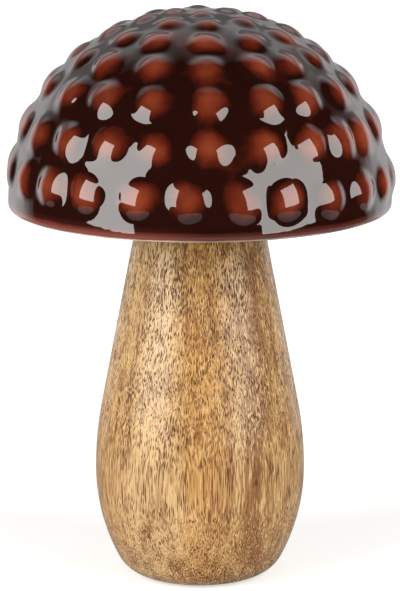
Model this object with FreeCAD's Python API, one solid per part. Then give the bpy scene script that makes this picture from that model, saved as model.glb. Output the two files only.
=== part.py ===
"""Mushroom ornament: a glazed ceramic cap, covered in rings of round studs, on a turned wooden stem.

Millimetres, +Z up.  The origin is the centre of the stem's flat base, where the ornament stands,
and the stem, the fixings and the cap share the Z axis.  Azimuth 0 is the front, -Y, and azimuths
grow towards +X.  Each function that PIECES names makes one piece as one solid.
"""
import FreeCAD
import Part
import math
import os

Vector = FreeCAD.Vector
UP = Vector(0, 0, 1)
ORIGIN = Vector(0, 0, 0)

# Stem, turned from one block: a flat base, a rounded corner, a full belly and a straight taper.
STEM_HEIGHT = 172.0
STEM_TOP_RADIUS = 11.4
STEM_TOP_CHAMFER = 0.8
BELLY_RADIUS = 35.2
BELLY_HEIGHT = 36.0
BASE_CORNER_RADIUS = 11.0
LOWER_BELLY_ARC_RADIUS = 65.0
UPPER_BELLY_ARC_RADIUS = 120.0

# Cap, a thick round bowl turned upside down over the top of the stem.
CAP_RADIUS = 63.6
CAP_WALL = 4.0
LIP_CHAMFER = 1.2
LIP_DROP = 2.0
INSIDE_BANDS = 6
BOSS_LENGTH = 13.0
BOSS_TIP_RADIUS = 10.5
BOSS_ROOT_RADIUS = 14.0

# Studs on the cap, each a slice of a ball.
STUD_FOOT_RADIUS = 7.2
STUD_HEIGHT = 1.8
STUD_ROOT_DEPTH = 1.0
# The studs stand in rings.  Each table has one entry for each ring, from the rim to the top: the
# angle down from the top, how far the ring leans down towards +X, the share of the full stud
# size, the azimuths of the hand-spaced front studs, and how many more close the ring.
FULL_TURN_ANGLE = 360
RING_ANGLES = (80.0, 65.3, 51.2, 38.9, 27.7, 16.9, 8.0)
RING_LEAN_ANGLES = (1.4, 0.0, 0.0, 0.0, 0.0, 0.0, 0.0)
RING_SIZE_SHARES = (1.0, 1.0, 0.95, 0.86, 0.83, 0.76, 0.61)
RING_FRONT_ANGLES = (
    (-65, -49, -35, -18, -3, 12, 26, 41, 56, 72),
    (-64, -46, -30, -13, 3, 21, 37, 51, 64, 79),
    (-79, -57, -37, -18, 3, 25, 42, 62, 80),
    (-70, -48, -22, 3, 27, 45, 68, 84),
    (-54, -28, 4, 34, 65),
    (-33, 8, 53),
    (5,),
)
RING_BACK_COUNTS = (14, 13, 9, 8, 7, 5, 3)

# Fixings: a stud bolt holds the cap down on a soft washer.  One end is screwed into the wood and
# the other into a threaded insert, which is cemented into the cap.
BOLT_RADIUS = 3.0
BOLT_LENGTH_IN_STEM = 36.0
BOLT_LENGTH_IN_INSERT = 10.0
BOLT_END_CHAMFER = 0.6
INSERT_RADIUS = 5.0
INSERT_LENGTH = 11.0
WASHER_RADIUS = 9.5
WASHER_THICKNESS = 2.0
WASHER_BORE_CLEARANCE = 0.4
THREAD_CLEARANCE = 0.1
CEMENT_GAP = 0.15
HOLE_END_CLEARANCE = 0.5
CUT_OVERRUN = 1.0

# Heights that follow from the sizes above.
BOSS_TIP_HEIGHT = STEM_HEIGHT + WASHER_THICKNESS
CAP_INSIDE_RADIUS = CAP_RADIUS - CAP_WALL
CAP_CENTRE_HEIGHT = BOSS_TIP_HEIGHT + BOSS_LENGTH - CAP_INSIDE_RADIUS


def at(radius, height):
    """A point of an outline that is turned about the Z axis."""
    return Vector(radius, 0, height)


def on_circle(centre, radius, angle):
    """The point of a circle in the XZ plane at an angle above its +X side."""
    return centre + at(radius * math.cos(angle), radius * math.sin(angle))


def arc(centre, radius, start, end):
    """An arc of a circle in the XZ plane from one angle to another."""
    ends = on_circle(centre, radius, start), on_circle(centre, radius, end)
    middle = on_circle(centre, radius, (start + end) / 2)
    return Part.Arc(ends[0], middle, ends[1]).toShape()


def lines(*points):
    """Straight edges from each point to the next."""
    return [Part.LineSegment(a, b).toShape() for a, b in zip(points, points[1:])]


def turned(edges):
    """The solid that a closed outline sweeps about the Z axis."""
    return Part.Face(Part.Wire(edges)).revolve(ORIGIN, UP, FULL_TURN_ANGLE)


def rod(radius, bottom, top):
    """An upright round bar on the Z axis."""
    return Part.makeCylinder(radius, top - bottom, at(0, bottom))


def make_stem():
    """The wooden stem, whose belly arcs run smoothly into the base corner and the taper."""
    lower_centre = at(BELLY_RADIUS - LOWER_BELLY_ARC_RADIUS, BELLY_HEIGHT)
    upper_centre = at(BELLY_RADIUS - UPPER_BELLY_ARC_RADIUS, BELLY_HEIGHT)
    centres_apart = LOWER_BELLY_ARC_RADIUS - BASE_CORNER_RADIUS
    corner_end = -math.asin((BELLY_HEIGHT - BASE_CORNER_RADIUS) / centres_apart)
    corner_centre = on_circle(lower_centre, centres_apart, corner_end)
    base_edge = at(corner_centre.x, 0)
    shoulder = at(STEM_TOP_RADIUS, STEM_HEIGHT - STEM_TOP_CHAMFER)
    reach = shoulder - upper_centre
    taper_start = math.atan2(reach.z, reach.x) - math.acos(UPPER_BELLY_ARC_RADIUS / reach.Length)
    edges = [
        arc(corner_centre, BASE_CORNER_RADIUS, -math.pi / 2, corner_end),
        arc(lower_centre, LOWER_BELLY_ARC_RADIUS, corner_end, 0),
        arc(upper_centre, UPPER_BELLY_ARC_RADIUS, 0, taper_start),
    ]
    taper_foot = on_circle(upper_centre, UPPER_BELLY_ARC_RADIUS, taper_start)
    top_edge = at(STEM_TOP_RADIUS - STEM_TOP_CHAMFER, STEM_HEIGHT)
    edges += lines(taper_foot, shoulder, top_edge, at(0, STEM_HEIGHT), ORIGIN, base_edge)
    pilot_bottom = STEM_HEIGHT - BOLT_LENGTH_IN_STEM - HOLE_END_CLEARANCE
    pilot = rod(BOLT_RADIUS + THREAD_CLEARANCE, pilot_bottom, STEM_HEIGHT + CUT_OVERRUN)
    return turned(edges).cut(pilot)


def make_bowl():
    """The plain cap: a round outside, a chamfered lip and a smooth hidden inside in bands."""
    centre = at(0, CAP_CENTRE_HEIGHT)
    lip_height = CAP_CENTRE_HEIGHT - LIP_DROP
    side_height = lip_height + LIP_CHAMFER
    inside = [
        on_circle(centre, CAP_INSIDE_RADIUS, math.pi / 2 * band / INSIDE_BANDS)
        for band in range(INSIDE_BANDS + 1)
    ]
    edges = [arc(centre, CAP_RADIUS, math.pi / 2, 0)]
    edges += lines(
        at(CAP_RADIUS, CAP_CENTRE_HEIGHT),
        at(CAP_RADIUS, side_height),
        at(CAP_RADIUS - LIP_CHAMFER, lip_height),
        at(CAP_INSIDE_RADIUS + LIP_CHAMFER, lip_height),
        at(CAP_INSIDE_RADIUS, side_height),
        *inside,
        at(0, CAP_CENTRE_HEIGHT + CAP_RADIUS),
    )
    return turned(edges)


def make_boss():
    """The short tapered boss under the crown, whose root lies within the bowl's wall."""
    length = BOSS_LENGTH + CAP_WALL / 2
    return Part.makeCone(BOSS_TIP_RADIUS, BOSS_ROOT_RADIUS, length, at(0, BOSS_TIP_HEIGHT))


def make_stud(share):
    """One stud at a share of the full size, standing on a bowl whose centre is the origin."""
    foot_radius = STUD_FOOT_RADIUS * share
    foot_height = math.sqrt(CAP_RADIUS ** 2 - foot_radius ** 2)
    top = CAP_RADIUS + STUD_HEIGHT * share
    rise = top - foot_height
    ball_radius = (foot_radius ** 2 + rise ** 2) / (2 * rise)
    ball = Part.makeSphere(ball_radius, at(0, top - ball_radius), Vector(0, -1, 0))
    return ball.common(rod(ball_radius, foot_height - STUD_ROOT_DEPTH, top + CUT_OVERRUN))


def ring_azimuths(front, back_count):
    """The front azimuths as given, and the rest evenly spaced round the back."""
    gap = (front[0] + FULL_TURN_ANGLE - front[-1]) / (back_count + 1)
    return [*front, *(front[-1] + gap * (k + 1) for k in range(back_count))]


def make_studs():
    """Every stud in its place on the cap."""
    rings = zip(
        RING_ANGLES, RING_LEAN_ANGLES, RING_SIZE_SHARES, RING_FRONT_ANGLES, RING_BACK_COUNTS
    )
    studs = []
    for down, lean, share, front, back_count in rings:
        stud = make_stud(share)
        for azimuth in ring_azimuths(front, back_count):
            tilt = down + lean * math.sin(math.radians(azimuth))
            aside = FreeCAD.Rotation(UP, azimuth - FULL_TURN_ANGLE / 4)
            turn = aside * FreeCAD.Rotation(Vector(0, 1, 0), tilt)
            place = FreeCAD.Placement(at(0, CAP_CENTRE_HEIGHT), turn)
            studs.append(stud.transformed(place.toMatrix()))
    return Part.makeCompound(studs)


def make_cap_shell():
    """The ceramic cap: bowl, studs and boss in one piece, with a blind hole for the insert."""
    hole_top = BOSS_TIP_HEIGHT + INSERT_LENGTH + HOLE_END_CLEARANCE
    hole = rod(INSERT_RADIUS + CEMENT_GAP, BOSS_TIP_HEIGHT - CUT_OVERRUN, hole_top)
    return make_bowl().fuse(make_boss()).cut(hole).fuse(make_studs())


def make_thread_insert():
    """The brass insert, flush with the tip of the boss."""
    top = BOSS_TIP_HEIGHT + INSERT_LENGTH
    bore = rod(BOLT_RADIUS + THREAD_CLEARANCE, BOSS_TIP_HEIGHT - CUT_OVERRUN, top + CUT_OVERRUN)
    return rod(INSERT_RADIUS, BOSS_TIP_HEIGHT, top).cut(bore)


def make_cushion_washer():
    """The soft washer that keeps the hard cap off the wood."""
    bore_radius = BOLT_RADIUS + WASHER_BORE_CLEARANCE
    bore = rod(bore_radius, STEM_HEIGHT - CUT_OVERRUN, BOSS_TIP_HEIGHT + CUT_OVERRUN)
    return rod(WASHER_RADIUS, STEM_HEIGHT, BOSS_TIP_HEIGHT).cut(bore)


def make_stud_bolt():
    """The steel bolt without a head, chamfered at both ends."""
    bottom = STEM_HEIGHT - BOLT_LENGTH_IN_STEM
    top = BOSS_TIP_HEIGHT + BOLT_LENGTH_IN_INSERT
    end_radius = BOLT_RADIUS - BOLT_END_CHAMFER
    edges = lines(
        at(0, bottom),
        at(end_radius, bottom),
        at(BOLT_RADIUS, bottom + BOLT_END_CHAMFER),
        at(BOLT_RADIUS, top - BOLT_END_CHAMFER),
        at(end_radius, top),
        at(0, top),
        at(0, bottom),
    )
    return turned(edges)


PIECES = {
    "stem": make_stem,
    "cap_shell": make_cap_shell,
    "thread_insert": make_thread_insert,
    "cushion_washer": make_cushion_washer,
    "stud_bolt": make_stud_bolt,
}


def main():
    os.makedirs("parts", exist_ok=True)
    for name, make in PIECES.items():
        make().exportStep(os.path.join("parts", name + ".step"))


if __name__ == "__main__":
    main()
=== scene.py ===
"""Mushroom ornament: the looks of a studded, glazed cap on a turned mango-wood stem.

Metres, +Z up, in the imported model's own frame: the origin is the centre of the stem's base, and
-Y is the front.  Azimuth 0 is the front, and azimuths grow towards +X.
"""
import math

import bmesh
import bpy
from bpy.props import FloatProperty, FloatVectorProperty, IntProperty, PointerProperty
from bpy.types import NodeSocket, Operator, Panel, PropertyGroup
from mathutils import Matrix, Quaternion, Vector


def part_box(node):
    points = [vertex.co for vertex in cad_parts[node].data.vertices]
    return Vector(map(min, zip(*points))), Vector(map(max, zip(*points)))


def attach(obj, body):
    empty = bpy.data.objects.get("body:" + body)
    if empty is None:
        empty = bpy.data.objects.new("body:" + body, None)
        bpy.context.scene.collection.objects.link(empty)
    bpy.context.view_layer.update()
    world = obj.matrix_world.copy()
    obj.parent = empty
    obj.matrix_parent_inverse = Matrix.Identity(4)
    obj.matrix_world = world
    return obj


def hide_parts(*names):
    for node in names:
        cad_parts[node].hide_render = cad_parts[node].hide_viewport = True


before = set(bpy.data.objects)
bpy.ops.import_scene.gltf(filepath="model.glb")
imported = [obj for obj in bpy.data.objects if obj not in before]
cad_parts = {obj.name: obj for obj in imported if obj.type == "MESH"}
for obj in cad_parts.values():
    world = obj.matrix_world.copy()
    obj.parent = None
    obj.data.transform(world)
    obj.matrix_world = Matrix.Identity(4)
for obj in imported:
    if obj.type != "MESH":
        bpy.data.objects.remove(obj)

bl_info = {
    "name": "Mushroom Ornament",
    "version": (1, 0, 0),
    "blender": (4, 5, 0),
    "location": "View3D > Sidebar > Mushroom",
    "description": "Makes a mushroom ornament with a studded glazed cap on a turned wooden stem",
    "category": "Add Mesh",
}

MM = 0.001
BODY = "root"

# Too short to see: places that differ by less count as the same.
HAIR = 0.01 * MM

# Turns in degrees, the unit of the angles of the outlines and the rings.
QUARTER_TURN, HALF_TURN, FULL_TURN = 90, 180, 360

# The frame's own sizes: the lowest and highest corners of the pieces.
STEM_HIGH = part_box("stem")[1]
CAP_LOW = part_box("cap_shell")[0]
WASHER_LOW, WASHER_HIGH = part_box("cushion_washer")
INSERT_LOW, INSERT_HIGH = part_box("thread_insert")
BOLT_LOW, BOLT_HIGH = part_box("stud_bolt")

# The studs stand in rings.  Each table has one entry for each ring, from the rim to the top: the
# angle down from the top, how far the ring leans down towards +X, the share of the full stud
# size, the azimuths of the front studs, listed one by one, and how many more close the ring.
RING_ANGLES = (80.0, 65.3, 51.2, 38.9, 27.7, 16.9, 8.0)
RING_LEAN_ANGLES = (1.4, 0.0, 0.0, 0.0, 0.0, 0.0, 0.0)
RING_SIZE_SHARES = (1.0, 1.0, 0.95, 0.86, 0.83, 0.76, 0.61)
RING_FRONT_ANGLES = (
    (-65, -49, -35, -18, -3, 12, 26, 41, 56, 72),
    (-64, -46, -30, -13, 3, 21, 37, 51, 64, 79),
    (-79, -57, -37, -18, 3, 25, 42, 62, 80),
    (-70, -48, -22, 3, 27, 45, 68, 84),
    (-54, -28, 4, 34, 65),
    (-33, 8, 53),
    (5,),
)
RING_BACK_COUNTS = (14, 13, 9, 8, 7, 5, 3)

# The hand-pressed outlines of the studs: how far apart they bulge and draw in, and the least and
# the most that the distance from a stud's centre is stretched by.
PRESSING_SIZE = 9 * MM
LEAST_STRETCH, MOST_STRETCH = 0.93, 1.12

# A stud falls away from its top as this power of the distance: 2 gives a plain dome, and more
# makes it fuller.  Its foot is then smoothed this many times.
STUD_POWER = 2.1
SMOOTHINGS = 5

# Sides of the turned pieces round their axis, and of the floor.
STEM_SIDES, BOLT_SIDES, INSERT_SIDES, WASHER_SIDES, FLOOR_SIDES = 256, 48, 240, 96, 128

# The bowl's inside has one side for this many sides of the studded outside.
INSIDE_COARSENESS = 4

# Steps along the arcs of the outlines.
BASE_CORNER_STEPS, LOWER_ARC_STEPS, UPPER_ARC_STEPS = 16, 24, 32
LIP_STEPS, BOWL_STEPS, BOSS_TIP_STEPS, WASHER_EDGE_STEPS = 8, 24, 4, 6

# Rows of vertices for each turn of the bolt's thread, and the height of a row of the knurling.
ROWS_PER_TURN = 8
KNURL_ROW = 0.25 * MM

# An edge that turns by more degrees than this is shaded as a sharp one.
SHARP_ANGLE = 35

# Width of the camera's sensor in millimetres, which the lens is stated for.
SENSOR_WIDTH = 36

# The softboxes beside the camera: the azimuth and the sideways lean of each in degrees, its width
# in metres, and its brightness as a share of the stated one.
SOFTBOXES = (
    {"name": "softbox_left", "azimuth": -55, "lean": -7, "width": 0.38, "brightness_share": 1.07},
    {"name": "softbox_right", "azimuth": 54, "lean": 9, "width": 0.42, "brightness_share": 0.93},
)

# Sockets of the Mix node when it mixes colours.
MIX_FACTOR, MIX_A, MIX_B, MIX_RESULT = 0, 6, 7, 2


def linear(hex_colour):
    """A colour written as sRGB hex, as the linear RGBA that a socket takes."""
    shares = [int(hex_colour[i:i + 2], 16) / 255 for i in (1, 3, 5)]
    return (*(s / 12.92 if s <= 0.04045 else ((s + 0.055) / 1.055) ** 2.4 for s in shares), 1.0)


def length(name, description, default):
    """A size that a user would change."""
    return FloatProperty(
        name=name, description=description, default=default, min=0, precision=4,
        subtype="DISTANCE", unit="LENGTH",
    )


def colour(name, description, hex_colour):
    """A colour that a user would change."""
    return FloatVectorProperty(
        name=name, description=description, default=linear(hex_colour), size=4, min=0, max=1,
        subtype="COLOR",
    )


class CapSettings(PropertyGroup):
    """Sizes and colours of the cap."""

    radius: length("Radius", "Outside of the bowl between the studs", 63.6 * MM)
    wall: length("Wall", "Thickness of the bowl", 4 * MM)
    stud_foot_radius: length("Stud radius", "Radius of a full-size stud at its foot", 7.2 * MM)
    stud_height: length("Stud height", "How far a full-size stud stands out", 1.8 * MM)
    foot_softness: length("Foot softness", "How far the glaze rounds off a stud's foot", 0.8 * MM)
    boss_tip_radius: length("Boss radius", "Radius of the boss at its tip", 10.5 * MM)
    boss_tip_rounding: length("Boss rounding", "Rounding of the boss's tip", 1 * MM)
    boss_root_radius: length("Boss root radius", "Radius of the boss where it meets the bowl", 13.2 * MM)
    hole_radius: length("Hole radius", "Radius of the boss's hole for the insert", 5.15 * MM)
    hole_depth: length("Hole depth", "Depth of the boss's hole", 11.5 * MM)
    fineness: IntProperty(
        name="Fineness", description="Times that the dome's mesh is divided", default=8, min=3, max=8,
    )
    pool: colour("Pooled glaze", "Thick glaze between the studs", "#230C08")
    foot: colour("Glaze at a foot", "Glaze round the foot of a stud", "#541C10")
    film: colour("Thin glaze", "Thin glaze over the studs", "#883C24")
    rim: colour("Rim", "Glaze that has run thin over the lip", "#562820")
    # The edge colour is a painted highlight along the very edge of the lip.
    edge: colour("Edge", "Painted pale line at the very edge of the lip", "#BC9C8C")
    band_height: length("Band", "Height of the lip's red-brown band", 3.0 * MM)


class StemSettings(PropertyGroup):
    """Sizes and colours of the stem."""

    height: length("Height", "From the base to the washer", STEM_HIGH.z)
    belly_radius: length("Belly radius", "The stem's widest radius", STEM_HIGH.x)
    belly_height: length("Belly height", "Where the stem is widest", 36 * MM)
    corner_radius: length("Base corner", "Rounding at the base", 11 * MM)
    lower_arc: length("Lower arc", "Radius of the belly's outline below the widest place", 65 * MM)
    upper_arc: length("Upper arc", "Radius of the belly's outline above the widest place", 120 * MM)
    top_radius: length("Top radius", "Radius of the stem's top", 11.4 * MM)
    top_chamfer: length("Top chamfer", "Chamfer round the stem's top", 0.8 * MM)
    hole_radius: length("Pilot radius", "Radius of the hole for the bolt", 3.1 * MM)
    hole_depth: length("Pilot depth", "Depth of the hole for the bolt", 36.5 * MM)
    sapwood: colour("Sapwood", "Palest wood", "#DAB682")
    honey: colour("Honey", "Main wood colour", "#C08F50")
    grey: colour("Grey-brown", "Cooler wood beside the dark streak", "#A98350")
    heart: colour("Heartwood", "Darkest streak and fibres", "#7B4817")
    pale: colour("Pale fibres", "Lightest fibres", "#EAC287")
    pore: colour("Pores", "Dark dashes of the open grain", "#4E2E0A")
    pore_spacing: length("Pore spacing", "Distance between the wood's pores", 0.39 * MM)
    pore_length: length("Pore length", "Distance from one end of a pore to the next along it", 7 * MM)
    pore_radius: length("Pore radius", "Radius of a pore", 0.115 * MM)


class FixingSettings(PropertyGroup):
    """Sizes and colours of the hidden fixing."""

    bolt_radius: length("Bolt radius", "Outside of the bolt's thread", 3 * MM)
    pitch: length("Pitch", "Rise of the bolt's thread in one turn", 1 * MM)
    thread_depth: length("Thread depth", "Depth of the bolt's thread", 0.5 * MM)
    insert_radius: length("Insert radius", "Outside of the insert", 5 * MM)
    insert_bore: length("Insert bore", "Radius of the insert's bore", 3.1 * MM)
    bolt_chamfer: length("Bolt chamfer", "Chamfer at each end of the bolt", 0.6 * MM)
    insert_chamfer: length("Insert chamfer", "Chamfer round each end of the insert", 0.5 * MM)
    knurl_depth: length("Knurl depth", "Depth of the insert's knurling", 0.3 * MM)
    knurl_count: IntProperty(name="Knurls", description="Knurls round the insert", default=30, min=3)
    washer_radius: length("Washer radius", "Outside of the washer", 9.5 * MM)
    washer_bore: length("Washer bore", "Radius of the washer's hole", 3.4 * MM)
    washer_rounding: length("Washer rounding", "Rounding of the washer's edges", 0.5 * MM)
    brass: colour("Brass", "Insert", "#C6A15B")
    steel: colour("Zinc-plated steel", "Bolt", "#BFC3C6")
    rubber: colour("Rubber", "Washer", "#232324")


class StageSettings(PropertyGroup):
    """The camera, the lamps and the floor."""

    target_height: length("Target height", "Height of the point that the camera looks at", 95 * MM)
    camera_distance: length("Camera distance", "From the camera to that point", 1.0)
    camera_elevation: FloatProperty(
        name="Camera elevation", description="Angle of the camera above the horizon",
        default=math.radians(12.38), subtype="ANGLE", unit="ROTATION",
    )
    lens: FloatProperty(
        name="Lens", description="Focal length on a 36 mm sensor, in millimetres",
        default=182.17, min=1, subtype="DISTANCE_CAMERA",
    )
    softbox_radiance: FloatProperty(
        name="Softbox radiance", description="Brightness of a softbox's face", default=4.8, min=0,
    )
    softbox_tint: colour("Softbox tint", "Colour of the softboxes' light", "#FFFCF8")
    softbox_distance: length("Softbox distance", "From the ornament's axis to a softbox", 0.5)
    softbox_low: length("Softbox low edge", "Height of a softbox's lower edge", 60 * MM)
    softbox_high: length("Softbox high edge", "Height of a softbox's upper edge", 530 * MM)
    floor: colour("Floor", "Colour of the floor", "#F4F4F4")
    floor_radius: length("Floor radius", "Radius of the floor", 6.0)
    shadow_near: length("Shadow near", "How far the floor shows its shadow in full", 0.1)
    shadow_far: length("Shadow far", "How far out the floor has turned plain white", 0.5)
    table_reach: length("Table reach", "How far the table that the gloss mirrors reaches", 0.33)
    table_glow: FloatProperty(
        name="Table glow", description="Brightness of the table that the gloss mirrors",
        default=0.45, min=0,
    )


def add(tree, kind, inputs=(), stops=(), **settings):
    """Adds a node with its settings, the values or links of its inputs, and a ramp's stops."""
    node = tree.nodes.new(kind)
    for name, value in settings.items():
        setattr(node, name, value)
    for key, value in dict(inputs).items():
        if isinstance(value, NodeSocket):
            tree.links.new(value, node.inputs[key])
        else:
            node.inputs[key].default_value = value
    for number, (place, tone) in enumerate(stops):
        if number < len(node.color_ramp.elements):
            node.color_ramp.elements[number].position = place
        else:
            node.color_ramp.elements.new(place)
        node.color_ramp.elements[number].color = tone
    return node


def new_material(name):
    """An empty node material and its output's surface socket."""
    material = bpy.data.materials.new(name)
    material.use_nodes = True
    tree = material.node_tree
    tree.nodes.clear()
    output = add(tree, "ShaderNodeOutputMaterial")
    return material, tree, output.inputs["Surface"]


def new_object(name, data):
    """An object in the scene that holds a mesh, a lamp or a camera."""
    thing = bpy.data.objects.new(name, data)
    bpy.context.scene.collection.objects.link(thing)
    return thing


def new_piece(name, mesh, material, slot, *nodes):
    """Adds a finished piece of the ornament that stands for the named nodes of the frame."""
    mesh.name = name
    mesh.materials.clear()
    mesh.materials.append(material)
    mesh.shade_smooth()
    mesh.set_sharp_from_angle(angle=math.radians(SHARP_ANGLE))
    piece = new_object(name, mesh)
    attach(piece, BODY)
    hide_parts(*nodes)


def ring_azimuths(front, back_count):
    """The front azimuths as given, and the rest evenly spaced round the back."""
    gap = (front[0] + FULL_TURN - front[-1]) / (back_count + 1)
    return [*front, *(front[-1] + gap * (k + 1) for k in range(back_count))]


def stud_points(radius):
    """A mesh with a point at each stud's centre, and the stud's share of the full size on it."""
    places, shares = [], []
    rings = zip(
        RING_ANGLES, RING_LEAN_ANGLES, RING_SIZE_SHARES, RING_FRONT_ANGLES, RING_BACK_COUNTS
    )
    for down, lean, share, front, back_count in rings:
        for azimuth in ring_azimuths(front, back_count):
            around = math.radians(azimuth)
            tilt = math.radians(down + lean * math.sin(around))
            outward = Vector((math.sin(around), -math.cos(around), 0)) * math.sin(tilt)
            places.append((outward + Vector((0, 0, math.cos(tilt)))) * radius)
            shares.append(share)
    mesh = bpy.data.meshes.new("stud_points")
    mesh.from_pydata(places, [], [])
    mesh.attributes.new("share", "FLOAT", "POINT").data.foreach_set("value", shares)
    return mesh


def dome_tree():
    """The node tree that raises a stud over each point on a round dome."""
    tree = bpy.data.node_groups.new("Studded dome", "GeometryNodeTree")
    tree.is_modifier = True
    for name, kind in (
        ("Stud points", "NodeSocketGeometry"),
        ("Cap radius", "NodeSocketFloat"),
        ("Centre height", "NodeSocketFloat"),
        ("Stud foot radius", "NodeSocketFloat"),
        ("Stud height", "NodeSocketFloat"),
        ("Foot softness", "NodeSocketFloat"),
        ("Fineness", "NodeSocketInt"),
        ("Glaze", "NodeSocketMaterial"),
    ):
        tree.interface.new_socket(name, in_out="INPUT", socket_type=kind)
    tree.interface.new_socket("Dome", in_out="OUTPUT", socket_type="NodeSocketGeometry")
    given = add(tree, "NodeGroupInput").outputs

    # Half of a ball: its equator is a loop of edges, which the lip is joined to later.
    ball = add(tree, "GeometryNodeMeshIcoSphere", {
        "Radius": given["Cap radius"], "Subdivisions": given["Fineness"],
    })
    place = add(tree, "GeometryNodeInputPosition").outputs[0]
    height = add(tree, "ShaderNodeSeparateXYZ", {0: place}).outputs["Z"]
    below = add(tree, "FunctionNodeCompare", {0: height, 1: -HAIR}, operation="LESS_THAN")
    dome = add(tree, "GeometryNodeDeleteGeometry", {
        "Geometry": ball.outputs["Mesh"], "Selection": below.outputs["Result"],
    }, domain="POINT")

    # How far each vertex lies from its nearest stud's centre, as a share of that stud's foot.
    studs = given["Stud points"]
    nearest = add(tree, "GeometryNodeSampleNearest", {"Geometry": studs}, domain="POINT").outputs[0]
    centre = add(tree, "GeometryNodeSampleIndex", {
        "Geometry": studs, "Value": place, "Index": nearest,
    }, data_type="FLOAT_VECTOR", domain="POINT").outputs[0]
    own_share = add(tree, "GeometryNodeInputNamedAttribute", {"Name": "share"}, data_type="FLOAT")
    share = add(tree, "GeometryNodeSampleIndex", {
        "Geometry": studs, "Value": own_share.outputs[0], "Index": nearest,
    }, data_type="FLOAT", domain="POINT").outputs[0]
    away = add(tree, "ShaderNodeVectorMath", {0: place, 1: centre}, operation="DISTANCE").outputs["Value"]
    foot = add(tree, "ShaderNodeMath", {0: given["Stud foot radius"], 1: share}, operation="MULTIPLY")
    reach = add(tree, "ShaderNodeMath", {0: away, 1: foot.outputs[0]}, operation="DIVIDE")

    # The studs are pressed by hand, so none of them is quite round.
    hand = add(tree, "ShaderNodeTexNoise", {"Vector": place, "Scale": 1 / PRESSING_SIZE, "Detail": 1.0})
    hand = add(tree, "ShaderNodeMapRange", {
        "Value": hand.outputs[0], "From Min": 0.3, "From Max": 0.7,
        "To Min": LEAST_STRETCH, "To Max": MOST_STRETCH,
    })
    reach = add(tree, "ShaderNodeMath", {0: reach.outputs[0], 1: hand.outputs[0]}, operation="MULTIPLY")

    # A low round stud, whose foot runs softly into the valley.
    fall = add(tree, "ShaderNodeMath", {0: reach.outputs[0], 1: STUD_POWER}, operation="POWER")
    rise = add(tree, "ShaderNodeMath", {0: 1.0, 1: fall.outputs[0]}, operation="SUBTRACT")
    full = add(tree, "ShaderNodeMath", {0: given["Stud height"], 1: share}, operation="MULTIPLY")
    stud = add(tree, "ShaderNodeMath", {0: rise.outputs[0], 1: full.outputs[0]}, operation="MULTIPLY")
    softness = add(tree, "ShaderNodeMath", {0: given["Foot softness"], 1: share}, operation="MULTIPLY")
    soft = add(tree, "ShaderNodeMath", {
        0: stud.outputs[0], 1: 0.0, 2: softness.outputs[0],
    }, operation="SMOOTH_MAX")
    even = add(tree, "GeometryNodeBlurAttribute", {
        "Value": soft.outputs[0], "Iterations": SMOOTHINGS,
    }, data_type="FLOAT").outputs[0]
    growth = add(tree, "ShaderNodeMath", {0: even, 1: given["Cap radius"]}, operation="DIVIDE")
    offset = add(tree, "ShaderNodeVectorMath", {0: place, "Scale": growth.outputs[0]}, operation="SCALE")
    raised = add(tree, "GeometryNodeSetPosition", {
        "Geometry": dome.outputs[0], "Offset": offset.outputs[0],
    })

    # The glaze is told how far up its own stud each vertex lies, as a share.
    relief = add(tree, "ShaderNodeMath", {0: even, 1: full.outputs[0]}, operation="DIVIDE")
    marked = add(tree, "GeometryNodeStoreNamedAttribute", {
        "Geometry": raised.outputs[0], "Name": "relief", "Value": relief.outputs[0],
    }, data_type="FLOAT", domain="POINT")

    # The ball was made round the frame's origin, and the cap's centre is higher.
    up = add(tree, "ShaderNodeCombineXYZ", {"Z": given["Centre height"]})
    lifted = add(tree, "GeometryNodeTransform", {
        "Geometry": marked.outputs[0], "Translation": up.outputs[0],
    })
    real = add(tree, "GeometryNodeRealizeInstances", {"Geometry": lifted.outputs[0]})
    glazed = add(tree, "GeometryNodeSetMaterial", {
        "Geometry": real.outputs[0], "Material": given["Glaze"],
    })
    add(tree, "NodeGroupOutput", {"Dome": glazed.outputs[0]})
    return tree


def grown(source, tree, values):
    """The plain mesh that a node tree makes from another mesh, with values for its inputs."""
    holder = new_object("holder", source)
    modifier = holder.modifiers.new("Shape", "NODES")
    modifier.node_group = tree
    for socket in tree.interface.items_tree:
        if socket.in_out == "INPUT" and socket.name in values:
            modifier[socket.identifier] = values[socket.name]
    bpy.context.view_layer.update()
    graph = bpy.context.evaluated_depsgraph_get()
    mesh = bpy.data.meshes.new_from_object(holder.evaluated_get(graph))
    holder.modifiers.remove(modifier)
    bpy.data.objects.remove(holder)
    return mesh


def round_points(centre, radius, start, end, steps):
    """Points of an outline along an arc, from just after its start to its end, angles in degrees."""
    angles = [math.radians(start + (end - start) * (k + 1) / steps) for k in range(steps)]
    return [(centre[0] + radius * math.cos(a), centre[1] + radius * math.sin(a)) for a in angles]


def add_ring(work, azimuths, radius, height):
    """A ring of vertices about the Z axis."""
    return [work.verts.new((radius * math.cos(a), radius * math.sin(a), height)) for a in azimuths]


def join_rings(work, outer, inner):
    """Faces between two rings, where the outer one may have several vertices for each inner one."""
    ratio = len(outer) // len(inner)
    for k, corner in enumerate(inner):
        along = [outer[(k * ratio + j) % len(outer)] for j in range(ratio + 1)]
        work.faces.new([*along, inner[(k + 1) % len(inner)], corner])


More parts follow.
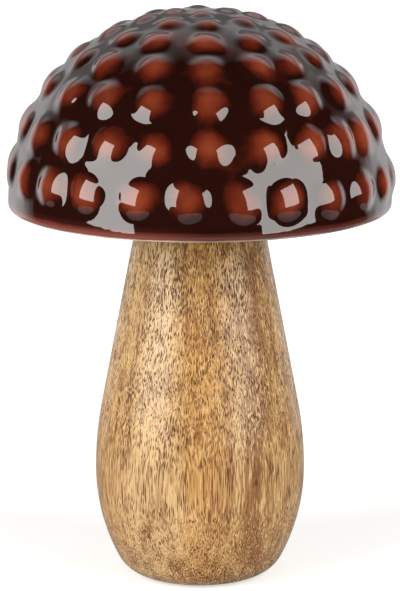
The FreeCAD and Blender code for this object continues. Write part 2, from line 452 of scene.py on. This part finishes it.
def close_wall(mesh, rows, coarse_rows):
    """Runs the dome's open edge through the outline's points, the last of them coarser, and closes it."""
    work = bmesh.new()
    work.from_mesh(mesh)
    edge = {vert for e in work.edges if e.is_boundary for vert in e.verts}
    ring = sorted(edge, key=lambda vert: math.atan2(vert.co.y, vert.co.x))
    azimuths = [math.atan2(vert.co.y, vert.co.x) for vert in ring]
    for outline, coarseness in ((rows, 1), (coarse_rows, INSIDE_COARSENESS)):
        azimuths = azimuths[::coarseness]
        for radius, height in outline:
            following = add_ring(work, azimuths, radius, height)
            join_rings(work, ring, following)
            ring = following
    work.faces.new(ring)
    bmesh.ops.recalc_face_normals(work, faces=work.faces)
    work.to_mesh(mesh)
    work.free()


def turned(outline, count, hollow=False):
    """A closed mesh turned about the Z axis from an outline of radii and heights: capped at both
    ends, or a hollow ring whose outline runs round its section."""
    work = bmesh.new()
    azimuths = [math.tau * k / count for k in range(count)]
    rings = [add_ring(work, azimuths, radius, height) for radius, height in outline]
    for ring, following in zip(rings, rings[1:]):
        join_rings(work, ring, following)
    if hollow:
        join_rings(work, rings[-1], rings[0])
    else:
        work.faces.new(rings[0])
        work.faces.new(rings[-1])
    bmesh.ops.recalc_face_normals(work, faces=work.faces)
    mesh = bpy.data.meshes.new("turned")
    work.to_mesh(mesh)
    work.free()
    return mesh


def stem_outline(stem):
    """The stem's outline: a flat base, a round corner, the belly's two arcs and a straight taper."""
    lower_centre = Vector((stem.belly_radius - stem.lower_arc, stem.belly_height))
    upper_centre = Vector((stem.belly_radius - stem.upper_arc, stem.belly_height))
    centres_apart = stem.lower_arc - stem.corner_radius
    corner_end = -math.asin((stem.belly_height - stem.corner_radius) / centres_apart)
    corner_centre = lower_centre + centres_apart * Vector((math.cos(corner_end), math.sin(corner_end)))
    shoulder = Vector((stem.top_radius, stem.height - stem.top_chamfer))
    reach = shoulder - upper_centre
    taper_start = math.atan2(reach.y, reach.x) - math.acos(stem.upper_arc / reach.length)
    corner_end, taper_start = math.degrees(corner_end), math.degrees(taper_start)
    outline = [(corner_centre.x, 0)]
    outline += round_points(corner_centre, stem.corner_radius, -QUARTER_TURN, corner_end, BASE_CORNER_STEPS)
    outline += round_points(lower_centre, stem.lower_arc, corner_end, 0, LOWER_ARC_STEPS)
    outline += round_points(upper_centre, stem.upper_arc, 0, taper_start, UPPER_ARC_STEPS)
    outline += [tuple(shoulder), (stem.top_radius - stem.top_chamfer, stem.height)]
    outline += [(stem.hole_radius, stem.height), (stem.hole_radius, stem.height - stem.hole_depth)]
    return outline


def helix_tree():
    """The node tree that cuts helical grooves round the outside of a turned blank: one for a
    thread, or many of both hands for a knurl."""
    tree = bpy.data.node_groups.new("Helical grooves", "GeometryNodeTree")
    tree.is_modifier = True
    for name, kind in (
        ("Blank", "NodeSocketGeometry"),
        ("Outside radius", "NodeSocketFloat"),
        ("Lead", "NodeSocketFloat"),
        ("Starts", "NodeSocketInt"),
        ("Depth", "NodeSocketFloat"),
        ("Left hand share", "NodeSocketFloat"),
        ("Metal", "NodeSocketMaterial"),
    ):
        tree.interface.new_socket(name, in_out="INPUT", socket_type=kind)
    tree.interface.new_socket("Cut", in_out="OUTPUT", socket_type="NodeSocketGeometry")
    given = add(tree, "NodeGroupInput").outputs

    place = add(tree, "GeometryNodeInputPosition").outputs[0]
    parts = add(tree, "ShaderNodeSeparateXYZ", {0: place}).outputs
    around = add(tree, "ShaderNodeMath", {0: parts["Y"], 1: parts["X"]}, operation="ARCTAN2")
    turns = add(tree, "ShaderNodeMath", {0: around.outputs[0], 1: math.tau}, operation="DIVIDE")
    climb = add(tree, "ShaderNodeMath", {0: parts["Z"], 1: given["Lead"]}, operation="DIVIDE")

    # A groove is deepest where the climb and the turn differ by half a start, for the right hand
    # and the left.  The wave runs from 0 on a crest to 1 at the bottom of a groove.
    grooves = []
    for sign in ("SUBTRACT", "ADD"):
        phase = add(tree, "ShaderNodeMath", {0: climb.outputs[0], 1: turns.outputs[0]}, operation=sign)
        phase = add(tree, "ShaderNodeMath", {0: phase.outputs[0], 1: given["Starts"]}, operation="MULTIPLY")
        wave = add(tree, "ShaderNodeMath", {0: phase.outputs[0], 1: 0.5}, operation="PINGPONG")
        grooves.append(add(tree, "ShaderNodeMath", {0: wave.outputs[0], 1: 2.0}, operation="MULTIPLY"))
    left = add(tree, "ShaderNodeMath", {
        0: grooves[1].outputs[0], 1: given["Left hand share"],
    }, operation="MULTIPLY")
    groove = add(tree, "ShaderNodeMath", {0: grooves[0].outputs[0], 1: left.outputs[0]}, operation="MAXIMUM")

    # Only the outside is cut, each vertex towards the axis.
    flat = add(tree, "ShaderNodeVectorMath", {0: place, 1: (1, 1, 0)}, operation="MULTIPLY").outputs[0]
    radius = add(tree, "ShaderNodeVectorMath", {0: flat}, operation="LENGTH").outputs["Value"]
    near = add(tree, "ShaderNodeMath", {0: given["Outside radius"], 1: HAIR}, operation="SUBTRACT")
    outside = add(tree, "FunctionNodeCompare", {0: radius, 1: near.outputs[0]}, operation="GREATER_THAN")
    inward = add(tree, "ShaderNodeVectorMath", {0: flat}, operation="NORMALIZE").outputs[0]
    cut = add(tree, "ShaderNodeMath", {0: groove.outputs[0], 1: given["Depth"]}, operation="MULTIPLY")
    cut = add(tree, "ShaderNodeMath", {0: cut.outputs[0], 1: -1.0}, operation="MULTIPLY")
    offset = add(tree, "ShaderNodeVectorMath", {0: inward, "Scale": cut.outputs[0]}, operation="SCALE")
    cut_blank = add(tree, "GeometryNodeSetPosition", {
        "Geometry": given["Blank"], "Selection": outside.outputs["Result"], "Offset": offset.outputs[0],
    })
    real = add(tree, "GeometryNodeRealizeInstances", {"Geometry": cut_blank.outputs[0]})
    finished = add(tree, "GeometryNodeSetMaterial", {
        "Geometry": real.outputs[0], "Material": given["Metal"],
    })
    add(tree, "NodeGroupOutput", {"Cut": finished.outputs[0]})
    return tree


def wall(radius, low, high, step):
    """Points of an outline up a straight wall, about one step apart."""
    count = round((high - low) / step)
    return [(radius, low + (high - low) * k / count) for k in range(count + 1)]


def drawn_out(tree, place, width, run, detail, shift=0):
    """Noise that is drawn out upwards, as the grain of wood is, or flattened, as the rings round a
    turned rod are.  The shift only chooses which stretch of the noise is used."""
    stretched = add(tree, "ShaderNodeMapping", {
        0: place, "Location": (shift, 0, 0), "Scale": (1 / width, 1 / width, 1 / run),
    })
    return add(tree, "ShaderNodeTexNoise", {
        "Vector": stretched.outputs[0], "Scale": 1.0, "Detail": detail,
    }).outputs


def wandering(tree, place, width, run, swing):
    """Places moved sideways, so that what is drawn straight along the grain wanders a little."""
    drift = drawn_out(tree, place, width=width, run=run, detail=2.0)["Color"]
    return add(tree, "ShaderNodeVectorMath", {
        0: drift, 1: (swing, swing, 0), 2: place,
    }, operation="MULTIPLY_ADD").outputs[0]


def metal_material(name, tone, line_height):
    """Bright metal with the fine rings that turning or rolling leaves round it, and a few duller
    places where it has been handled."""
    ring_length, worn_size, ring_depth = 30 * MM, 2 * MM, 0.01 * MM
    material, tree, surface = new_material(name)
    place = add(tree, "ShaderNodeTexCoord").outputs["Object"]
    rings = drawn_out(tree, place, width=ring_length, run=line_height, detail=2.0)[0]
    worn = add(tree, "ShaderNodeTexNoise", {"Vector": place, "Scale": 1 / worn_size, "Detail": 3.0})
    dull = add(tree, "ShaderNodeMapRange", {"Value": worn.outputs[0], "To Min": 0.2, "To Max": 0.45})
    shade = add(tree, "ShaderNodeMapRange", {"Value": worn.outputs[0], "To Min": 1.1, "To Max": 0.75})
    shaded = add(tree, "ShaderNodeVectorMath", {0: tone[:3], "Scale": shade.outputs[0]}, operation="SCALE")
    lines = add(tree, "ShaderNodeBump", {"Height": rings, "Distance": ring_depth})
    shader = add(tree, "ShaderNodeBsdfPrincipled", {
        "Base Color": shaded.outputs[0],
        "Metallic": 1.0,
        "Roughness": dull.outputs[0],
        "Normal": lines.outputs[0],
    })
    tree.links.new(shader.outputs[0], surface)
    return material


def rubber_material(fixing):
    """Moulded EPDM rubber: matt near-black, with the grain of its mould and a pale bloom.  The real
    grain is finer, and is drawn as coarse as it needs to show."""
    grain_size, grain_depth, bloom_size = 0.2 * MM, 0.02 * MM, 4 * MM
    material, tree, surface = new_material("moulded rubber")
    place = add(tree, "ShaderNodeTexCoord").outputs["Object"]
    grain = add(tree, "ShaderNodeTexNoise", {"Vector": place, "Scale": 1 / grain_size, "Detail": 2.0})
    bloom = add(tree, "ShaderNodeTexNoise", {"Vector": place, "Scale": 1 / bloom_size, "Detail": 3.0})
    shade = add(tree, "ShaderNodeMapRange", {"Value": bloom.outputs[0], "To Min": 0.7, "To Max": 1.6})
    shaded = add(tree, "ShaderNodeVectorMath", {
        0: fixing.rubber[:3], "Scale": shade.outputs[0],
    }, operation="SCALE")
    rough = add(tree, "ShaderNodeMapRange", {"Value": bloom.outputs[0], "To Min": 0.55, "To Max": 0.85})
    bump = add(tree, "ShaderNodeBump", {"Height": grain.outputs[0], "Distance": grain_depth})
    shader = add(tree, "ShaderNodeBsdfPrincipled", {
        "Base Color": shaded.outputs[0],
        "Roughness": rough.outputs[0],
        "Normal": bump.outputs[0],
    })
    tree.links.new(shader.outputs[0], surface)
    return material


def glaze_material(cap):
    """Glazed stoneware: an iron glaze, fired glossy, that breaks red-brown where it runs thin over
    the studs and pools near-black between them, under a clear surface that mirrors sharply."""
    material, tree, surface = new_material("iron glaze")
    place = add(tree, "ShaderNodeTexCoord").outputs["Object"]
    parts = add(tree, "ShaderNodeSeparateXYZ", {0: place}).outputs

    # The coat is thinner on the studs, and uneven everywhere.
    cloud_size = 12 * MM
    relief = add(tree, "ShaderNodeAttribute", attribute_name="relief").outputs["Fac"]
    cloud = add(tree, "ShaderNodeTexNoise", {"Vector": place, "Scale": 1 / cloud_size, "Detail": 3.0})
    uneven = add(tree, "ShaderNodeMapRange", {
        "Value": cloud.outputs[0], "From Min": 0.3, "From Max": 0.7, "To Min": -0.4, "To Max": 0.2,
    })
    thin = add(tree, "ShaderNodeMath", {0: relief, 1: uneven.outputs[0]}, operation="ADD")
    coat = add(tree, "ShaderNodeValToRGB", {0: thin.outputs[0]}, stops=(
        (0.05, cap.pool), (0.42, cap.foot), (1.0, cap.film),
    ))

    # Over the lip the glaze runs thin, below a dark line where it has gathered.  Both wander up and
    # down a little, and the band takes this share of the ramp below.
    wave_size, wave_swing, band_share = 16 * MM, 1.2 * MM, 0.6
    edge_height = CAP_LOW.z + wave_swing / 2
    wave = add(tree, "ShaderNodeTexNoise", {"Vector": place, "Scale": 1 / wave_size})
    swing = add(tree, "ShaderNodeMath", {
        0: wave.outputs[0], 1: wave_swing, 2: parts["Z"],
    }, operation="MULTIPLY_ADD")
    above = add(tree, "ShaderNodeMapRange", {
        "Value": swing.outputs[0], "From Min": edge_height,
        "From Max": edge_height + cap.band_height / band_share,
    })
    bare = (*cap.pool[:3], 0.0)
    # The lowest stop, the pale edge, is a painted highlight.
    lip = add(tree, "ShaderNodeValToRGB", {0: above.outputs[0]}, stops=(
        (0.08, cap.edge), (0.18, cap.rim), (0.45, cap.rim), (0.7, cap.pool), (0.82, cap.pool), (1.0, bare),
    ))

    # Painted light and shade: the lip's colours are scaled lighter on the left and darker on the right.
    painted_light_until, painted_shade_from = -25 * MM, 5 * MM
    painted_side_light = add(tree, "ShaderNodeMapRange", {
        "Value": parts["X"], "From Min": painted_light_until, "From Max": painted_shade_from,
        "To Min": 1.9, "To Max": 0.85,
    }, interpolation_type="SMOOTHSTEP")
    lip_tone_and_side_light = add(tree, "ShaderNodeVectorMath", {
        0: lip.outputs[0], "Scale": painted_side_light.outputs[0],
    }, operation="SCALE")
    tone = add(tree, "ShaderNodeMix", {
        MIX_FACTOR: lip.outputs["Alpha"], MIX_A: coat.outputs[0], MIX_B: lip_tone_and_side_light.outputs[0],
    }, data_type="RGBA")

    # The fired surface is faintly wavy, which frays the edges of what it mirrors.
    ripple_size, ripple_depth = 5 * MM, 0.06 * MM
    ripple = add(tree, "ShaderNodeTexNoise", {"Vector": place, "Scale": 1 / ripple_size, "Detail": 1.0})
    wavy = add(tree, "ShaderNodeBump", {"Height": ripple.outputs[0], "Distance": ripple_depth})
    shader = add(tree, "ShaderNodeBsdfPrincipled", {
        "Base Color": tone.outputs[MIX_RESULT],
        "Metallic": 0.0,
        "Roughness": 0.4,
        "Specular IOR Level": 0.0,
        "Coat Weight": 1.0,
        "Coat Roughness": 0.03,
        "Coat IOR": 1.7,
        "Normal": wavy.outputs[0],
        "Coat Normal": wavy.outputs[0],
    })
    tree.links.new(shader.outputs[0], surface)
    return material


def wood_material(stem):
    """Mango wood, turned, sanded and thinly waxed: honey-coloured with grey-brown streaks.  Its
    pores run along the grain, so they show as dashes up the sides and as dots on the end grain
    round the base."""
    material, tree, surface = new_material("waxed mango wood")
    place = add(tree, "ShaderNodeTexCoord").outputs["Object"]
    up = add(tree, "ShaderNodeSeparateXYZ", {0: place}).outputs["Z"]
    grain = wandering(tree, place, width=20 * MM, run=45 * MM, swing=7 * MM)
    fine_grain = wandering(tree, place, width=3.5 * MM, run=7 * MM, swing=0.7 * MM)

    # Round the base the surface turns across the grain: all of it below the first height, none
    # above the second.
    end_grain_all, end_grain_none = 2 * MM, 18 * MM
    end_grain = add(tree, "ShaderNodeMapRange", {
        "Value": up, "From Min": end_grain_all, "From Max": end_grain_none, "To Min": 1.0, "To Max": 0.0,
    })

    # Broad streaks run up the block, from pale wood on the left to a dark streak on the right.
    across = add(tree, "ShaderNodeSeparateXYZ", {0: grain}).outputs["X"]
    share = add(tree, "ShaderNodeMapRange", {
        "Value": across, "From Min": -STEM_HIGH.x, "From Max": STEM_HIGH.x,
    })
    streak = add(tree, "ShaderNodeValToRGB", {0: share.outputs[0]}, stops=(
        (0.0, stem.honey), (0.1, stem.honey), (0.24, stem.sapwood), (0.4, stem.sapwood),
        (0.5, stem.honey), (0.62, stem.honey), (0.74, stem.grey), (0.81, stem.heart), (0.88, stem.grey),
    ))

    # Brown clouds darken it, and the end grain most.
    cloud = drawn_out(tree, grain, width=6 * MM, run=16 * MM, detail=4.0, shift=40)[0]
    brown = add(tree, "ShaderNodeMapRange", {
        "Value": cloud, "From Min": 0.47, "From Max": 0.66, "To Min": 0.0, "To Max": 0.55,
    })
    end_grain_brown = 0.2
    brown = add(tree, "ShaderNodeMath", {
        0: end_grain.outputs[0], 1: end_grain_brown, 2: brown.outputs[0],
    }, operation="MULTIPLY_ADD")
    clouded = add(tree, "ShaderNodeMix", {
        MIX_FACTOR: brown.outputs[0], MIX_A: streak.outputs[0], MIX_B: stem.heart,
    }, data_type="RGBA")

    # Narrow streaks and the fibres in them are darker or paler than the rest.
    slim = drawn_out(tree, grain, width=2.5 * MM, run=50 * MM, detail=5.0, shift=9)[0]
    fibre = drawn_out(tree, fine_grain, width=0.35 * MM, run=12 * MM, detail=2.0)[0]
    fibre_weight = 1.8
    shade = add(tree, "ShaderNodeMath", {0: fibre, 1: fibre_weight, 2: slim}, operation="MULTIPLY_ADD")
    shade = add(tree, "ShaderNodeMapRange", {
        "Value": shade.outputs[0], "From Min": 1.14, "From Max": 1.66,
    })
    strand = add(tree, "ShaderNodeValToRGB", {0: shade.outputs[0]}, stops=(
        (0.0, (*stem.heart[:3], 1.0)), (0.5, (*stem.honey[:3], 0.0)), (1.0, (*stem.pale[:3], 0.7)),
    ))
    fibred = add(tree, "ShaderNodeMix", {
        MIX_FACTOR: strand.outputs["Alpha"], MIX_A: clouded.outputs[MIX_RESULT], MIX_B: strand.outputs[0],
    }, data_type="RGBA")

    # The pores are short dark tubes along the grain.
    spread = add(tree, "ShaderNodeMapping", {
        0: fine_grain, "Scale": (1 / stem.pore_spacing, 1 / stem.pore_spacing, 1 / stem.pore_length),
    })
    tubes = add(tree, "ShaderNodeTexVoronoi", {"Vector": spread.outputs[0], "Scale": 1.0})

    # They are larger in some patches than in others, on the end grain, and higher up the stem.
    patch_size = 9 * MM
    fine_height, coarse_height = 25 * MM, 110 * MM
    end_grain_growth = 0.4
    patch = add(tree, "ShaderNodeTexNoise", {"Vector": place, "Scale": 1 / patch_size, "Detail": 2.0})
    size_share = add(tree, "ShaderNodeMapRange", {
        "Value": patch.outputs[0], "From Min": 0.3, "From Max": 0.7, "To Min": 0.75, "To Max": 1.35,
    })
    size_share = add(tree, "ShaderNodeMath", {
        0: end_grain.outputs[0], 1: end_grain_growth, 2: size_share.outputs[0],
    }, operation="MULTIPLY_ADD")
    coarser = add(tree, "ShaderNodeMapRange", {
        "Value": up, "From Min": fine_height, "From Max": coarse_height, "To Min": -0.25, "To Max": 0.15,
    })
    size_share = add(tree, "ShaderNodeMath", {
        0: coarser.outputs[0], 1: size_share.outputs[0],
    }, operation="ADD")
    reach = add(tree, "ShaderNodeMath", {
        0: size_share.outputs[0], 1: stem.pore_radius / stem.pore_spacing,
    }, operation="MULTIPLY")
    from_axis = add(tree, "ShaderNodeMath", {
        0: tubes.outputs["Distance"], 1: reach.outputs[0],
    }, operation="DIVIDE")
    pore = add(tree, "ShaderNodeMapRange", {
        "Value": from_axis.outputs[0], "From Min": 0.75, "From Max": 1.4, "To Min": 0.95, "To Max": 0.0,
    })
    tone = add(tree, "ShaderNodeMix", {
        MIX_FACTOR: pore.outputs[0], MIX_A: fibred.outputs[MIX_RESULT], MIX_B: stem.pore,
    }, data_type="RGBA")

    # The wax lies on the wood between the pores, so they stay dull and dark in the sheen.
    pore_depth = 0.05 * MM
    wax = add(tree, "ShaderNodeMapRange", {"Value": pore.outputs[0], "To Min": 1.0, "To Max": 0.0})
    pits = add(tree, "ShaderNodeBump", {"Height": pore.outputs[0], "Distance": pore_depth}, invert=True)
    shader = add(tree, "ShaderNodeBsdfPrincipled", {
        "Base Color": tone.outputs[MIX_RESULT],
        "Roughness": 0.7,
        "Specular IOR Level": 0.1,
        "Coat Weight": wax.outputs[0],
        "Coat Roughness": 0.32,
        "Coat IOR": 1.55,
        "Normal": pits.outputs[0],
        "Coat Normal": pits.outputs[0],
    })
    tree.links.new(shader.outputs[0], surface)
    return material


class MUSHROOM_OT_studded_cap(Operator):
    """Makes the glazed cap with its rings of studs"""

    bl_idname = "mushroom.studded_cap"
    bl_label = "Studded Cap"

    def execute(self, context):
        cap = context.scene.mushroom_cap
        lip_radius = cap.wall / 2
        centre_height = CAP_LOW.z + lip_radius
        inside = cap.radius - cap.wall
        boss_tip = WASHER_HIGH.z
        glaze = glaze_material(cap)
        mesh = grown(stud_points(cap.radius), dome_tree(), {
            "Cap radius": cap.radius,
            "Centre height": centre_height,
            "Stud foot radius": cap.stud_foot_radius,
            "Stud height": cap.stud_height,
            "Foot softness": cap.foot_softness,
            "Fineness": cap.fineness,
            "Glaze": glaze,
        })
        root_angle = math.degrees(math.acos(cap.boss_root_radius / inside))
        rows = round_points((cap.radius - lip_radius, centre_height), lip_radius, 0, -HALF_TURN, LIP_STEPS)
        coarse = round_points((0, centre_height), inside, 0, root_angle, BOWL_STEPS)
        rounding = cap.boss_tip_rounding
        tip_centre = (cap.boss_tip_radius - rounding, boss_tip + rounding)
        coarse += round_points(tip_centre, rounding, 0, -QUARTER_TURN, BOSS_TIP_STEPS)
        coarse += [(cap.hole_radius, boss_tip), (cap.hole_radius, boss_tip + cap.hole_depth)]
        close_wall(mesh, rows, coarse)
        new_piece("studded_cap", mesh, glaze, "cap_glaze", "cap_shell")
        return {"FINISHED"}


class MUSHROOM_OT_turned_stem(Operator):
    """Makes the turned wooden stem"""

    bl_idname = "mushroom.turned_stem"
    bl_label = "Turned Stem"

    def execute(self, context):
        stem = context.scene.mushroom_stem
        mesh = turned(stem_outline(stem), STEM_SIDES)
        new_piece("turned_stem", mesh, wood_material(stem), "stem_wood", "stem")
        return {"FINISHED"}


class MUSHROOM_OT_fixing(Operator):
    """Makes the hidden bolt, insert and washer that hold the cap on the stem"""

    bl_idname = "mushroom.fixing"
    bl_label = "Hidden Fixing"

    def execute(self, context):
        fixing = context.scene.mushroom_fixing
        grooves = helix_tree()

        steel = metal_material("zinc-plated steel", fixing.steel, line_height=0.3 * MM)
        chamfer = fixing.bolt_chamfer
        low, high = BOLT_LOW.z, BOLT_HIGH.z
        blank = turned([
            (fixing.bolt_radius - chamfer, low),
            *wall(fixing.bolt_radius, low + chamfer, high - chamfer, fixing.pitch / ROWS_PER_TURN),
            (fixing.bolt_radius - chamfer, high),
        ], BOLT_SIDES)
        mesh = grown(blank, grooves, {
            "Outside radius": fixing.bolt_radius, "Lead": fixing.pitch, "Starts": 1,
            "Depth": fixing.thread_depth, "Left hand share": 0.0, "Metal": steel,
        })
        new_piece("threaded_bolt", mesh, steel, "bolt_steel", "stud_bolt")

        brass = metal_material("turned brass", fixing.brass, line_height=0.2 * MM)
        chamfer = fixing.insert_chamfer
        low, high = INSERT_LOW.z, INSERT_HIGH.z
        blank = turned([
            (fixing.insert_bore, low),
            (fixing.insert_radius - chamfer, low),
            *wall(fixing.insert_radius, low + chamfer, high - chamfer, KNURL_ROW),
            (fixing.insert_radius - chamfer, high),
            (fixing.insert_bore, high),
        ], INSERT_SIDES, hollow=True)
        mesh = grown(blank, grooves, {
            "Outside radius": fixing.insert_radius, "Lead": math.tau * fixing.insert_radius,
            "Starts": fixing.knurl_count, "Depth": fixing.knurl_depth, "Left hand share": 1.0,
            "Metal": brass,
        })
        new_piece("knurled_insert", mesh, brass, "insert_brass", "thread_insert")

        corner = fixing.washer_rounding
        low, high = WASHER_LOW.z + corner, WASHER_HIGH.z - corner
        outer, inner = fixing.washer_radius - corner, fixing.washer_bore + corner
        outline = []
        for quarter, centre in enumerate(((outer, low), (outer, high), (inner, high), (inner, low))):
            start = QUARTER_TURN * (quarter - 1)
            outline += round_points(centre, corner, start, start + QUARTER_TURN, WASHER_EDGE_STEPS)
        mesh = turned(outline, WASHER_SIDES, hollow=True)
        new_piece("rubber_washer", mesh, rubber_material(fixing), "washer_rubber", "cushion_washer")
        return {"FINISHED"}


class MUSHROOM_OT_stage(Operator):
    """Makes the floor, the lamps, the world and the camera"""

    bl_idname = "mushroom.stage"
    bl_label = "Stage"

    def execute(self, context):
        stage = context.scene.mushroom_stage
        add_camera(stage)
        add_floor(stage)
        add_world()
        for softbox in SOFTBOXES:
            add_softbox(stage, **softbox)
        context.scene.view_settings.view_transform = "Standard"
        return {"FINISHED"}


def add_camera(stage):
    """The camera at the photograph's viewing angle."""
    lens = bpy.data.cameras.new("camera")
    lens.sensor_width = SENSOR_WIDTH
    lens.lens = stage.lens
    camera = new_object("camera", lens)
    target = Vector((0, 0, stage.target_height))
    back = Vector((0, -math.cos(stage.camera_elevation), math.sin(stage.camera_elevation)))
    camera.location = target + back * stage.camera_distance
    camera.rotation_euler = (-back).to_track_quat("-Z", "Y").to_euler()
    bpy.context.scene.camera = camera


def add_floor(stage):
    """A wide pale floor that keeps the ornament's shadow.  It is plain white to the eye, and in the
    gloss of the cap it is a pale table that ends a little way out from the ornament."""
    material, tree, surface = new_material("pale floor")
    rays = add(tree, "ShaderNodeLightPath").outputs
    matt = add(tree, "ShaderNodeBsdfDiffuse", {"Color": stage.floor})
    place = add(tree, "ShaderNodeTexCoord").outputs["Object"]
    away = add(tree, "ShaderNodeVectorMath", {0: place}, operation="LENGTH").outputs["Value"]
    white = add(tree, "ShaderNodeMapRange", {
        "Value": away, "From Min": stage.shadow_near, "From Max": stage.shadow_far,
        "To Min": 0.5, "To Max": 1.0,
    })
    veil = add(tree, "ShaderNodeMath", {0: rays["Is Camera Ray"], 1: white.outputs[0]}, operation="MULTIPLY")
    veil = add(tree, "ShaderNodeEmission", {"Strength": veil.outputs[0]})
    seen = add(tree, "ShaderNodeAddShader", {0: matt.outputs[0], 1: veil.outputs[0]})
    beyond = add(tree, "ShaderNodeMath", {0: away, 1: stage.table_reach}, operation="GREATER_THAN")
    table = add(tree, "ShaderNodeEmission", {"Strength": stage.table_glow})
    room = add(tree, "ShaderNodeBsdfTransparent")
    mirrored = add(tree, "ShaderNodeMixShader", {
        0: beyond.outputs[0], 1: table.outputs[0], 2: room.outputs[0],
    })
    shader = add(tree, "ShaderNodeMixShader", {
        0: rays["Is Glossy Ray"], 1: seen.outputs[0], 2: mirrored.outputs[0],
    })
    tree.links.new(shader.outputs[0], surface)
    work = bmesh.new()
    bmesh.ops.create_circle(work, cap_ends=True, segments=FLOOR_SIDES, radius=stage.floor_radius)
    mesh = bpy.data.meshes.new("floor")
    work.to_mesh(mesh)
    work.free()
    mesh.materials.append(material)
    floor = new_object("floor", mesh)


def add_world():
    """An even white room for the eye and for matt surfaces, which a glossy surface sees as a white
    sweep behind the ornament and a dark room in front of it.  A direction has a length of 1 here:
    its X points to the right, its Y to the back and its Z up."""
    world = bpy.data.worlds.new("white sweep")
    bpy.context.scene.world = world
    world.use_nodes = True
    tree = world.node_tree
    tree.nodes.clear()
    rays = add(tree, "ShaderNodeLightPath").outputs
    toward = add(tree, "ShaderNodeTexCoord").outputs["Generated"]
    toward = add(tree, "ShaderNodeSeparateXYZ", {0: toward}).outputs

    # The sweep begins a little behind the ornament, and farther back at the sides.
    side_slant = -0.32
    side = add(tree, "ShaderNodeMath", {0: toward["X"]}, operation="ABSOLUTE")
    back = add(tree, "ShaderNodeMath", {
        0: side.outputs[0], 1: side_slant, 2: toward["Y"],
    }, operation="MULTIPLY_ADD")
    sweep = add(tree, "ShaderNodeMapRange", {
        "Value": back.outputs[0], "From Min": 0.15, "From Max": 0.42, "To Min": 0.01, "To Max": 1.5,
    })

    # It is dimmer straight behind, in a band above the ornament, and overhead.
    far = add(tree, "ShaderNodeMapRange", {
        "Value": toward["Y"], "From Min": 0.82, "From Max": 0.98, "To Min": 1.0, "To Max": 0.4,
    })
    bright, fair, dim = ((share, share, share, 1.0) for share in (1.0, 0.85, 0.35))
    high = add(tree, "ShaderNodeValToRGB", {0: toward["Z"]}, stops=(
        (0.24, bright), (0.36, dim), (0.52, dim), (0.62, fair), (0.9, dim),
    ))
    sweep = add(tree, "ShaderNodeMath", {0: sweep.outputs[0], 1: far.outputs[0]}, operation="MULTIPLY")
    sweep = add(tree, "ShaderNodeMath", {0: sweep.outputs[0], 1: high.outputs[0]}, operation="MULTIPLY")

    # The even room gives matt surfaces their fill of light, and the eye sees plain white.
    fill = 0.3
    seen = add(tree, "ShaderNodeMix", {0: rays["Is Glossy Ray"], 2: fill, 3: sweep.outputs[0]})
    white = add(tree, "ShaderNodeMath", {0: seen.outputs[0], 1: rays["Is Camera Ray"]}, operation="MAXIMUM")
    light = add(tree, "ShaderNodeBackground", {"Strength": white.outputs[0]})
    add(tree, "ShaderNodeOutputWorld", {"Surface": light.outputs[0]})


def add_softbox(stage, name, azimuth, lean, width, brightness_share):
    """A large upright softbox beside the camera, which faces the ornament's axis."""
    height = stage.softbox_high - stage.softbox_low
    around = math.radians(azimuth)
    lamp = bpy.data.lights.new(name, "AREA")
    lamp.shape = "RECTANGLE"
    lamp.size = width
    lamp.size_y = height
    lamp.color = stage.softbox_tint[:3]
    lamp.energy = brightness_share * stage.softbox_radiance * math.pi * width * height
    softbox = new_object(name, lamp)
    softbox.location = (
        math.sin(around) * stage.softbox_distance,
        -math.cos(around) * stage.softbox_distance,
        (stage.softbox_high + stage.softbox_low) / 2,
    )
    facing = Vector((-math.sin(around), math.cos(around), 0)).to_track_quat("-Z", "Y")
    roll = Quaternion((0, 0, 1), math.radians(lean))
    softbox.rotation_euler = (facing @ roll).to_euler()
    softbox.visible_camera = False


class MUSHROOM_PT_panel(Panel):
    """Lists the ornament's pieces"""

    bl_idname = "MUSHROOM_PT_panel"
    bl_label = "Mushroom Ornament"
    bl_space_type = "VIEW_3D"
    bl_region_type = "UI"
    bl_category = "Mushroom"

    def draw(self, context):
        for operator in OPERATORS:
            self.layout.operator(operator.bl_idname)


SETTINGS = {
    "mushroom_cap": CapSettings,
    "mushroom_stem": StemSettings,
    "mushroom_fixing": FixingSettings,
    "mushroom_stage": StageSettings,
}
OPERATORS = (
    MUSHROOM_OT_stage, MUSHROOM_OT_studded_cap, MUSHROOM_OT_turned_stem, MUSHROOM_OT_fixing,
)


def register():
    for kind in (*SETTINGS.values(), *OPERATORS, MUSHROOM_PT_panel):
        bpy.utils.register_class(kind)
    for name, kind in SETTINGS.items():
        setattr(bpy.types.Scene, name, PointerProperty(type=kind))


def unregister():
    for name in SETTINGS:
        delattr(bpy.types.Scene, name)
    for kind in reversed((*SETTINGS.values(), *OPERATORS, MUSHROOM_PT_panel)):
        bpy.utils.unregister_class(kind)


def main():
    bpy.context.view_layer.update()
    register()
    bpy.ops.mushroom.stage()
    bpy.ops.mushroom.studded_cap()
    bpy.ops.mushroom.turned_stem()
    bpy.ops.mushroom.fixing()


if __name__ == "__main__":
    main()
